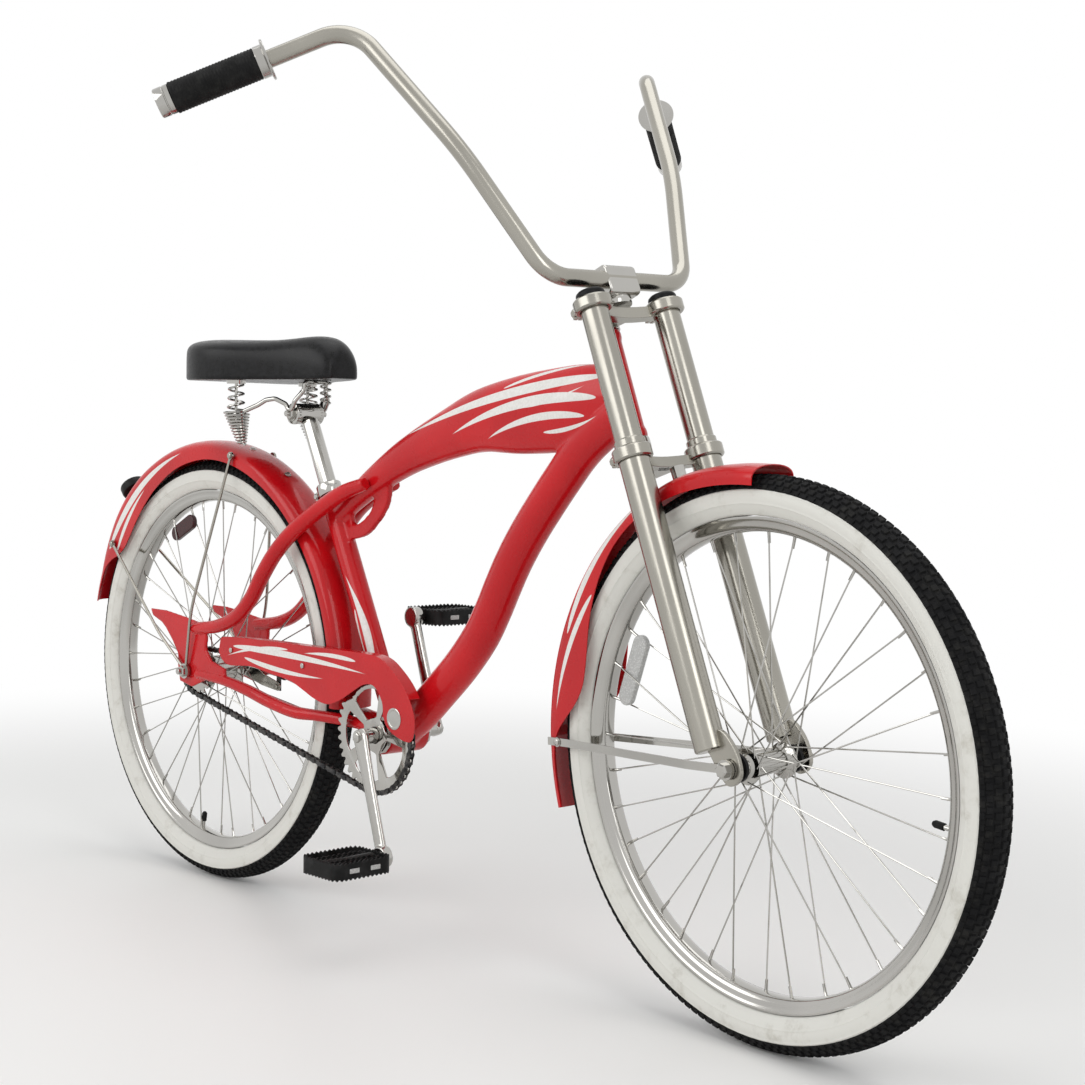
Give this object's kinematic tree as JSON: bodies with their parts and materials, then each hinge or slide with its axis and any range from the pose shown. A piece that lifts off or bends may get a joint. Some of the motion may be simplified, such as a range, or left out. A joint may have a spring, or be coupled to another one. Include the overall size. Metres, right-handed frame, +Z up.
{
  "type": "chopper bicycle",
  "caption": "Pedal bicycle with a curved steel frame, a double-crown fork with raked steering, high wide handlebar, sprung saddle, fenders and a single-speed chain drive.",
  "frame": {"origin": "the rider's seat point on top of the saddle, in the middle plane", "axes": "+X forward, +Y to the rider's left, +Z up"},
  "size_m": [1.7963, 0.8917, 1.2178],
  "materials": {
    "red_paint": "gloss",
    "chrome": "polished",
    "tyre_rubber": "matte",
    "black_rubber": "matte",
    "black_vinyl": "satin",
    "black_steel": "satin",
    "black_plastic": "satin",
    "red_lens": "gloss"
  },
  "bodies": {
    "frame": {"main_frame": "red_paint", "headset_upper": "chrome", "headset_lower": "chrome", "rear_stays_r": "red_paint", "rear_stays_l": "red_paint", "seat_post": "chrome", "seat_clamp": "chrome", "saddle_clamp": "chrome", "saddle_frame": "chrome", "saddle_spring_r": "chrome", "saddle_spring_l": "chrome", "saddle": "black_vinyl", "rear_fender": "red_paint", "rear_fender_stay_r": "chrome", "rear_fender_stay_l": "chrome", "rear_reflector": "black_plastic", "rear_reflector_lens": "red_lens", "chain": "black_steel", "chain_guard": "red_paint", "bracket_cup_r": "chrome", "bracket_cup_l": "chrome", "rear_axle": "chrome", "brake_arm": "chrome"},
    "fork": {"steerer": "chrome", "lower_crown": "chrome", "upper_crown": "chrome", "fork_leg_r": "chrome", "fork_leg_l": "chrome", "leg_cap_r": "black_plastic", "leg_cap_l": "black_plastic", "stem": "chrome", "handlebar": "chrome", "grip_r": "black_rubber", "grip_l": "black_rubber", "grip_collar_r": "chrome", "grip_collar_l": "chrome", "grip_cap_r": "chrome", "grip_cap_l": "chrome", "front_axle": "chrome", "front_fender": "red_paint", "fender_bracket": "chrome", "front_fender_stay_r": "chrome", "front_fender_stay_l": "chrome"},
    "front_wheel": {"front_tyre": "tyre_rubber", "front_rim": "chrome", "front_hub": "chrome"},
    "rear_wheel": {"rear_tyre": "tyre_rubber", "rear_rim": "chrome", "rear_hub": "chrome"},
    "rear_sprocket": {"rear_sprocket": "chrome"},
    "crank": {"crank": "chrome", "chainring": "chrome", "pedal_r_spindle": "chrome", "pedal_l_spindle": "chrome"},
    "pedal_right": {"pedal_r": "black_plastic"},
    "pedal_left": {"pedal_l": "black_plastic"}
  },
  "joints": [
    {"name": "steering", "type": "hinge", "parent": "frame", "child": "fork", "pos_m": [0.71968, 0, -0.14604], "axis": [-0.3665, 0, 0.9304], "range_deg": [-41.5, 48.5]},
    {"name": "front_wheel_spin", "type": "hinge", "parent": "fork", "child": "front_wheel", "pos_m": [0.94487, -0.00455, -0.51455], "axis": [0.0568, 0.9981, 0.0224], "continuous": true},
    {"name": "rear_wheel_spin", "type": "hinge", "parent": "frame", "child": "rear_wheel", "pos_m": [-0.185, 0, -0.5145], "axis": [0, 1, 0], "continuous": true},
    {"name": "crank_spin", "type": "hinge", "parent": "frame", "child": "crank", "pos_m": [0.2696, 0, -0.5623], "axis": [0, 1, 0], "continuous": true},
    {"name": "sprocket_spin", "type": "hinge", "parent": "frame", "child": "rear_sprocket", "pos_m": [-0.185, 0, -0.5145], "axis": [0, 1, 0], "continuous": true},
    {"name": "pedal_right_spin", "type": "hinge", "parent": "crank", "child": "pedal_right", "pos_m": [0.3396, 0, -0.7173], "axis": [0, 1, 0], "continuous": true},
    {"name": "pedal_left_spin", "type": "hinge", "parent": "crank", "child": "pedal_left", "pos_m": [0.1996, 0, -0.4073], "axis": [0, 1, 0], "continuous": true}
  ],
  "couplings": [
    {"joint": "sprocket_spin", "follows": "crank_spin", "ratio": 2.2222}
  ]
}
